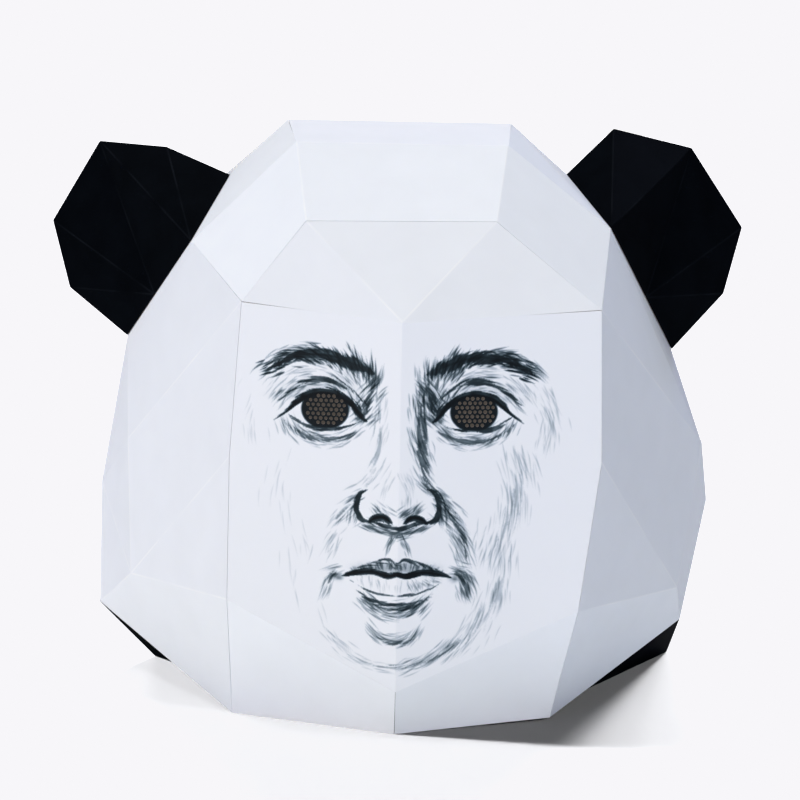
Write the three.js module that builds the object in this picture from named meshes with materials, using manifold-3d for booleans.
// A folded-card panda head mask that covers the whole head and rests on its chin and collar.
// Millimetres, +Z up. The face looks along -Y and the floor is at Z = 0.
import * as THREE from 'three';
import { mergeVertices } from 'three/addons/utils/BufferGeometryUtils.js';
import Module from 'manifold-3d';

const wasm = await Module();
wasm.setup();

// Sizes of the head, without its ears
const headWidth = 356;
const headHeight = 317;
const headDepth = 290;

// The card and the glue line between two pieces
const cardThickness = 1.5;
const seamGap = 0.3;

// The pierced eyes: how far apart they stand, how large each oval field of holes is, and the holes
const eyeSpacing = 76;
const eyeFieldWidth = 20;
const eyeFieldHeight = 16;
const eyeLineShare = 0.76; // from the chin fold up to the middle of the brow
const holePitch = 2.65;
const holeDiameters = [2.05, 1.75, 1.9];
const holeSides = 9;

// How strongly each rule holds a corner, where the rules can't all be met
const ruleWeights = { facet: 1, seam: 4, seat: 100, floor: 1000 };

const ivoryCard = { color: 0xeceef4, roughness: 0.55, metalness: 0 };
const blackCard = { color: 0x0b0c10, roughness: 0.5, metalness: 0 };

// Corners that come in pairs. left, right: distance from the middle, in half widths; the hand-folded
// head is a little fuller on one side. up: in heights. lift: how much higher the right one stands.
// front: distance in front of the middle, in half depths. lead: how much further forward the right
// one stands.
const pairedCorners = {
  crownRear: { left: 0.355, right: 0.34, up: 1, front: 0.08 },
  crownFront: { left: 0.32, right: 0.315, up: 0.963, front: 0.42 },
  browHigh: { left: 0.28, right: 0.27, up: 0.838, lift: 0.004, front: 0.79 },
  temple: { left: 0.635, right: 0.627, up: 0.792, lift: 0.036, front: 0.41 },
  browLow: { left: 0.462, right: 0.577, up: 0.707, lift: -0.004, front: 0.83 },
  faceMid: { left: 0.493, right: 0.59, up: 0.453, front: 0.82 },
  faceLow: { left: 0.496, right: 0.533, up: 0.216, lift: -0.01, front: 0.83 },
  hemFront: { left: 0.486, right: 0.468, up: 0, lift: 0.006, front: 0.57, lead: 0.13 },
  cheek: { left: 0.846, right: 0.985, up: 0.434, front: 0.02 },
  jawSide: { left: 0.828, right: 0.897, up: 0.199, lift: -0.012, front: 0.18 },
  side: { left: 0.965, right: 1.04, up: 0.328, lift: -0.018, front: -0.31 },
  jawRear: { left: 0.955, right: 0.927, up: 0.115, front: -0.06 },
  earTop: { left: 0.533, right: 0.516, up: 0.902, lift: 0.012, front: 0.07 },
  earFoot: { left: 0.862, right: 0.879, up: 0.609, lift: -0.008, front: -0.055 },
  earHeel: { left: 0.81, right: 0.82, up: 0.78, front: -0.5 },
  rearTop: { left: 0.34, right: 0.34, up: 0.91, front: -0.62 },
  rearSide: { left: 0.83, right: 0.86, up: 0.43, front: -0.78 },
  rearMid: { left: 0.44, right: 0.44, up: 0.6, front: -1 },
  rimSide: { left: 0.86, right: 0.88, up: 0.15, front: -0.66 },
  rimRear: { left: 0.44, right: 0.44, up: 0.16, front: -0.95 },
  footFront: { left: 0.48, right: 0.52, up: 0, front: 0.22, lead: 0.16 },
  footSide: { left: 0.786, right: 0.945, up: 0, front: -0.27, lead: -0.21 },
  footRear: { left: 0.43, right: 0.43, up: 0, front: -0.83 },
  earInner: { left: 0.743, right: 0.674, up: 0.948, lift: 0.047, front: -0.08 },
  earPeak: { left: 0.962, right: 0.934, up: 0.956, lift: 0.007, front: -0.15 },
  earOuter: { left: 1.116, right: 1.111, up: 0.811, lift: 0.01, front: -0.19 },
  earLow: { left: 1.057, right: 1.053, up: 0.691, lift: 0.01, front: -0.15 },
};

// Corners on the middle line
const middleCorners = {
  browMid: { up: 0.683, front: 0.956 },
  chinTop: { up: 0.08, front: 0.953 },
  chinLow: { up: 0, front: 0.877 },
};

// Where the ear's lower creases meet on its base, from the temple towards the ear's foot
const earCreaseShare = 0.555;

// Facets on one side of the head, as loops of corners; the other side has their mirror images
const sideFacets = {
  crownPanel: [['crownFront', 'browHigh', 'browLow', 'temple']],
  browPanel: [['browHigh', 'browMid', 'browLow']],
  facePanel: [['chinTop', 'faceLow', 'faceMid', 'browLow', 'browMid']],
  chin: [['chinLow', 'hemFront', 'faceLow', 'chinTop']],
  cheek: [
    ['browLow', 'cheek', 'temple'],
    ['browLow', 'faceMid', 'jawSide', 'cheek'],
    ['faceMid', 'faceLow', 'jawSide'],
    ['faceLow', 'hemFront', 'jawRear', 'jawSide'],
    ['cheek', 'jawSide', 'side'],
    ['jawSide', 'jawRear', 'side'],
  ],
  temple: [
    ['crownRear', 'crownFront', 'temple', 'earTop'],
    ['temple', 'cheek', 'earFoot'],
    ['cheek', 'side', 'earFoot'],
    ['temple', 'earFoot', 'earTop'],
    ['earTop', 'earFoot', 'earHeel'],
  ],
  nape: [
    ['crownRear', 'earTop', 'earHeel'],
    ['crownRear', 'earHeel', 'rearTop'],
    ['rearTop', 'earHeel', 'rearSide'],
    ['rearTop', 'rearSide', 'rearMid'],
    ['earHeel', 'earFoot', 'side'],
    ['earHeel', 'side', 'rearSide'],
    ['side', 'jawRear', 'rimSide'],
    ['side', 'rimSide', 'rearSide'],
    ['rearSide', 'rimSide', 'rimRear'],
    ['rearSide', 'rimRear', 'rearMid'],
  ],
  collar: [
    ['hemFront', 'footFront', 'jawRear'],
    ['footFront', 'footSide', 'jawRear'],
    ['jawRear', 'footSide', 'rimSide'],
    ['rimSide', 'footSide', 'footRear'],
    ['rimSide', 'footRear', 'rimRear'],
  ],
};

// Facets that cross the middle line: the first half of each loop on the left, the rest on the right
const crossingFacets = {
  crownPanel: [['crownRear', 'crownFront'], ['crownFront', 'browHigh']],
  nape: [['rearTop', 'crownRear'], ['rearMid', 'rearTop'], ['rimRear', 'rearMid']],
  collar: [['footRear', 'rimRear']],
};

const earFacets = [
  ['temple', 'earInner', 'earTop'],
  ['temple', 'earPeak', 'earInner'],
  ['temple', 'earCrease', 'earPeak'],
  ['earCrease', 'earOuter', 'earPeak'],
  ['earCrease', 'earLow', 'earOuter'],
  ['earCrease', 'earFoot', 'earLow'],
  ['earTop', 'earInner', 'earHeel'],
  ['earInner', 'earPeak', 'earHeel'],
  ['earPeak', 'earOuter', 'earHeel'],
  ['earOuter', 'earLow', 'earHeel'],
  ['earLow', 'earFoot', 'earHeel'],
];
const earSeat = ['earTop', 'earFoot', 'earHeel'];

// Places every corner, named like temple_left, temple_right or browMid
function placeCorners() {
  const corners = {};
  for (const [name, row] of Object.entries(pairedCorners)) {
    const place = (across, front, up) =>
      new THREE.Vector3((across * headWidth) / 2, (-front * headDepth) / 2, up * headHeight);
    corners[`${name}_left`] = place(-row.left, row.front, row.up);
    corners[`${name}_right`] = place(row.right, row.front + (row.lead ?? 0), row.up + (row.lift ?? 0));
  }
  for (const [name, row] of Object.entries(middleCorners)) {
    corners[name] = new THREE.Vector3(0, (-row.front * headDepth) / 2, row.up * headHeight);
  }
  return corners;
}

// A loop of plain corner names, taken to one side of the head
function sideLoop(loop, side) {
  return loop.map((name) => (name in middleCorners ? name : `${name}_${side}`));
}

// The loop between two pairs of corners, across the middle line
function crossingLoop([first, second]) {
  return [`${first}_left`, `${second}_left`, `${second}_right`, `${first}_right`];
}

// Solves three linear equations that come from a least-squares fit of the given rows
function leastSquares(rows) {
  const damping = 1e-9;
  const matrix = [damping, 0, 0, 0, damping, 0, 0, 0, damping];
  const target = new THREE.Vector3();
  for (const { along, length, weight = ruleWeights.facet } of rows) {
    const parts = along.toArray();
    for (let i = 0; i < 9; i += 1) {
      matrix[i] += weight * parts[Math.floor(i / 3)] * parts[i % 3];
    }
    target.addScaledVector(along, weight * length);
  }
  return target.applyMatrix3(new THREE.Matrix3().set(...matrix).invert());
}

// Moves corners forward or back, keeping their front view, until every facet in front lies flat
function layFacetsFlat(corners, loops) {
  const rounds = 400;
  const stepShare = 0.8;
  for (let round = 0; round < rounds; round += 1) {
    const moves = {};
    for (const loop of loops) {
      const rows = loop.map((name) => {
        const corner = corners[name];
        return { along: new THREE.Vector3(1, corner.x / headWidth, corner.z / headHeight), length: corner.y };
      });
      const plane = leastSquares(rows);
      loop.forEach((name, i) => {
        (moves[name] ??= []).push(plane.dot(rows[i].along) - corners[name].y);
      });
    }
    for (const [name, steps] of Object.entries(moves)) {
      const meanStep = steps.reduce((sum, step) => sum + step, 0) / steps.length;
      corners[name].y += stepShare * meanStep;
    }
  }
}

function loopNormal(loop, corners) {
  const normal = new THREE.Vector3();
  loop.forEach((name, i) => {
    const next = corners[loop[(i + 1) % loop.length]];
    normal.add(new THREE.Vector3().crossVectors(corners[name], next));
  });
  return normal.normalize();
}

// Turns a loop so that its normal points away from the given centre
function turnOutward(loop, corners, centre) {
  const middle = new THREE.Vector3();
  loop.forEach((name) => middle.addScaledVector(corners[name], 1 / loop.length));
  const outward = loopNormal(loop, corners).dot(middle.sub(centre)) > 0;
  return outward ? loop : [...loop].reverse();
}

// The head's facets, grouped by the piece of card that they are folded from
function headPieces(corners) {
  const centre = new THREE.Vector3(0, 0, headHeight / 2);
  const pieces = {};
  const add = (piece, loop) => (pieces[piece] ??= []).push(turnOutward(loop, corners, centre));
  const acrossTheMiddle = ['crownPanel', 'browPanel', 'facePanel', 'collar'];
  for (const [piece, loops] of Object.entries(sideFacets)) {
    for (const side of ['left', 'right']) {
      const name = acrossTheMiddle.includes(piece) ? piece : `${piece}_${side}`;
      loops.forEach((loop) => add(name, sideLoop(loop, side)));
    }
  }
  for (const [piece, pairs] of Object.entries(crossingFacets)) {
    const name = piece === 'nape' ? 'napePanel' : piece;
    pairs.forEach((pair) => add(name, crossingLoop(pair)));
  }
  add('browPanel', ['browHigh_left', 'browMid', 'browHigh_right']);
  return pieces;
}

function loopEdges(loop) {
  return loop.map((name, i) => [name, loop[(i + 1) % loop.length]]);
}

// How far a corner of a piece stands back from its seams, staying in the plane of its facets
function seamShift(name, loops, corners, allEdges, ownEdges) {
  const rows = [];
  for (const loop of loops.filter((each) => each.includes(name))) {
    const normal = loopNormal(loop, corners);
    rows.push({ along: normal, length: 0 });
    for (const [from, to] of loopEdges(loop)) {
      const isSeam = allEdges.has(`${to}>${from}`) && !ownEdges.has(`${to}>${from}`);
      if (isSeam && (from === name || to === name)) {
        const edge = corners[to].clone().sub(corners[from]).normalize();
        rows.push({ along: normal.clone().cross(edge), length: seamGap / 2, weight: ruleWeights.seam });
      }
    }
  }
  return leastSquares([...rows, ...floorRows(name, corners)]);
}

// Keeps the head's lowest corners level, so that their cut edges lie on the floor
function floorRows(name, corners) {
  const lowest = 0.01 * headHeight;
  const row = { along: new THREE.Vector3(0, 0, 1), length: 0, weight: ruleWeights.floor };
  return corners[name].z < lowest ? [row] : [];
}

// How far the inner face of the card lies from a corner, square to every facet that meets there
function cardShift(name, loops, corners, extraRows = []) {
  const rows = loops
    .filter((loop) => loop.includes(name))
    .map((loop) => ({ along: loopNormal(loop, corners), length: -cardThickness }));
  return leastSquares([...rows, ...floorRows(name, corners), ...extraRows]);
}

// A closed body from facets, each with its own outer and inner face, and walls along the cut edges
function foldedCard(loops, outer, inner) {
  const names = [...new Set(loops.flat())];
  const positions = [];
  names.forEach((name) => positions.push(...outer[name].toArray()));
  names.forEach((name) => positions.push(...inner[name].toArray()));
  const outside = (name) => names.indexOf(name);
  const inside = (name) => names.indexOf(name) + names.length;
  const index = [];
  const edges = new Set(loops.flatMap(loopEdges).map(([from, to]) => `${from}>${to}`));
  for (const loop of loops) {
    for (let i = 1; i + 1 < loop.length; i += 1) {
      const [a, b, c] = [loop[0], loop[i], loop[i + 1]];
      index.push(outside(a), outside(b), outside(c));
      index.push(inside(c), inside(b), inside(a));
    }
    for (const [from, to] of loopEdges(loop).filter(([a, b]) => !edges.has(`${b}>${a}`))) {
      // Both sides of a seam split their cut edge along the same diagonal
      if (from < to) {
        index.push(outside(to), outside(from), inside(from), outside(to), inside(from), inside(to));
      } else {
        index.push(outside(from), inside(from), inside(to), outside(from), inside(to), outside(to));
      }
    }
  }
  const geometry = new THREE.BufferGeometry();
  geometry.setAttribute('position', new THREE.Float32BufferAttribute(positions, 3));
  geometry.setIndex(index);
  return geometry;
}

// One piece of the head, folded from its facets
function headPiece(loops, corners, allLoops, allEdges) {
  const ownEdges = new Set(loops.flatMap(loopEdges).map(([from, to]) => `${from}>${to}`));
  const outer = {};
  const inner = {};
  for (const name of new Set(loops.flat())) {
    outer[name] = corners[name].clone().add(seamShift(name, loops, corners, allEdges, ownEdges));
    inner[name] = outer[name].clone().add(cardShift(name, allLoops, corners));
  }
  return foldedCard(loops, outer, inner);
}

// An ear: a hollow cup of folded card that stands on the head's side, open towards it
function earPiece(side, corners) {
  const ear = {};
  for (const name of new Set(earFacets.flat())) {
    ear[name] = (corners[`${name}_${side}`] ?? new THREE.Vector3()).clone();
  }
  ear.earCrease = ear.temple.clone().lerp(ear.earFoot, earCreaseShare);
  const seatCentre = new THREE.Vector3();
  earSeat.forEach((name) => seatCentre.addScaledVector(ear[name], 1 / earSeat.length));
  const headCentre = new THREE.Vector3(0, 0, headHeight / 2);
  const seatNormal = loopNormal(turnOutward(earSeat, ear, headCentre), ear);
  const insideShare = 0.4;
  const cupCentre = seatCentre.clone().lerp(ear.earOuter, insideShare);
  const loops = earFacets.map((loop) => turnOutward(loop, ear, cupCentre));
  const baseNames = ['temple', 'earCrease', 'earFoot', 'earTop', 'earHeel'];
  const outer = {};
  const inner = {};
  for (const name of Object.keys(ear)) {
    const onBase = baseNames.includes(name);
    const glueLine = onBase ? seatNormal.clone().multiplyScalar(seamGap) : new THREE.Vector3();
    const alongSeat = onBase ? [{ along: seatNormal, length: 0, weight: ruleWeights.seat }] : [];
    outer[name] = ear[name].clone().add(glueLine);
    inner[name] = outer[name].clone().add(cardShift(name, loops, ear, alongSeat));
  }
  return foldedCard(loops, outer, inner);
}

// A closed geometry as a solid that can be cut
function toSolid(geometry) {
  const shell = geometry.clone();
  shell.deleteAttribute('normal');
  shell.deleteAttribute('uv');
  const merged = mergeVertices(shell);
  return new wasm.Manifold(new wasm.Mesh({
    numProp: 3,
    vertProperties: new Float32Array(merged.attributes.position.array),
    triVerts: new Uint32Array(merged.index.array),
  }));
}

function fromSolid(solid) {
  const mesh = solid.getMesh();
  const geometry = new THREE.BufferGeometry();
  geometry.setAttribute('position', new THREE.Float32BufferAttribute(mesh.vertProperties, 3));
  geometry.setIndex([...mesh.triVerts]);
  return geometry;
}

// The holes of one eye: staggered rows inside an oval, with the hole sizes taking turns
function eyeHoles(centre) {
  const drillLength = headDepth / 4;
  const rowPitch = (holePitch * Math.sqrt(3)) / 2;
  const rows = Math.floor(eyeFieldHeight / 2 / rowPitch);
  const columns = Math.floor(eyeFieldWidth / 2 / holePitch) + 1;
  const holes = [];
  for (let row = -rows; row <= rows; row += 1) {
    for (let column = -columns; column <= columns; column += 1) {
      const up = row * rowPitch;
      const across = (column + Math.abs(row % 2) / 2) * holePitch;
      if (Math.hypot(across / eyeFieldWidth, up / eyeFieldHeight) < 0.5) {
        const diameter = holeDiameters[(columns + column) % holeDiameters.length];
        const drill = new THREE.CylinderGeometry(diameter / 2, diameter / 2, drillLength, holeSides);
        drill.translate(centre.x + across, centre.y, centre.z + up);
        holes.push(drill);
      }
    }
  }
  return holes;
}

// Cuts both fields of eye holes through the face panel
function pierceEyes(panel, corners) {
  const eyeLine = corners.chinTop.clone().lerp(corners.browMid, eyeLineShare);
  let solid = toSolid(panel);
  for (const side of [-1, 1]) {
    const centre = eyeLine.clone();
    centre.x += (side * eyeSpacing) / 2;
    for (const hole of eyeHoles(centre)) {
      solid = solid.subtract(toSolid(hole));
    }
  }
  return fromSolid(solid);
}

function namedMesh(name, geometry, look) {
  geometry.computeVertexNormals();
  const mesh = new THREE.Mesh(geometry, new THREE.MeshStandardMaterial(look));
  mesh.name = name;
  return mesh;
}

// Names the pieces as they are called on the finished mask
const pieceNames = {
  crownPanel: 'crown_panel',
  browPanel: 'brow_panel',
  facePanel: 'face_panel',
  chin_left: 'chin_left',
  chin_right: 'chin_right',
  cheek_left: 'cheek_left',
  cheek_right: 'cheek_right',
  temple_left: 'temple_left',
  temple_right: 'temple_right',
  nape_left: 'nape_left',
  nape_right: 'nape_right',
  napePanel: 'nape_panel',
  collar: 'neck_collar',
};

function buildMask() {
  const corners = placeCorners();
  const frontFacets = ['crownPanel', 'facePanel', 'chin'].flatMap((piece) => sideFacets[piece]);
  frontFacets.push(sideFacets.cheek[1], sideFacets.cheek[3]);
  const flatLoops = ['left', 'right'].flatMap((side) => frontFacets.map((loop) => sideLoop(loop, side)));
  layFacetsFlat(corners, [...flatLoops, ...crossingFacets.crownPanel.map(crossingLoop)]);

  const pieces = headPieces(corners);
  const allLoops = Object.values(pieces).flat();
  const allEdges = new Set(allLoops.flatMap(loopEdges).map(([from, to]) => `${from}>${to}`));
  const mask = new THREE.Group();
  for (const [piece, loops] of Object.entries(pieces)) {
    let geometry = headPiece(loops, corners, allLoops, allEdges);
    if (piece === 'facePanel') {
      geometry = pierceEyes(geometry, corners);
    }
    mask.add(namedMesh(pieceNames[piece], geometry, piece === 'collar' ? blackCard : ivoryCard));
  }
  for (const side of ['left', 'right']) {
    mask.add(namedMesh(`ear_${side}`, earPiece(side, corners), blackCard));
  }
  return mask;
}

// Stands the mask with the middle of its box over the origin
function centreOverOrigin(mask) {
  const middle = new THREE.Box3().setFromObject(mask).getCenter(new THREE.Vector3());
  mask.children.forEach((mesh) => mesh.geometry.translate(-middle.x, -middle.y, 0));
  return mask;
}

export default centreOverOrigin(buildMask());
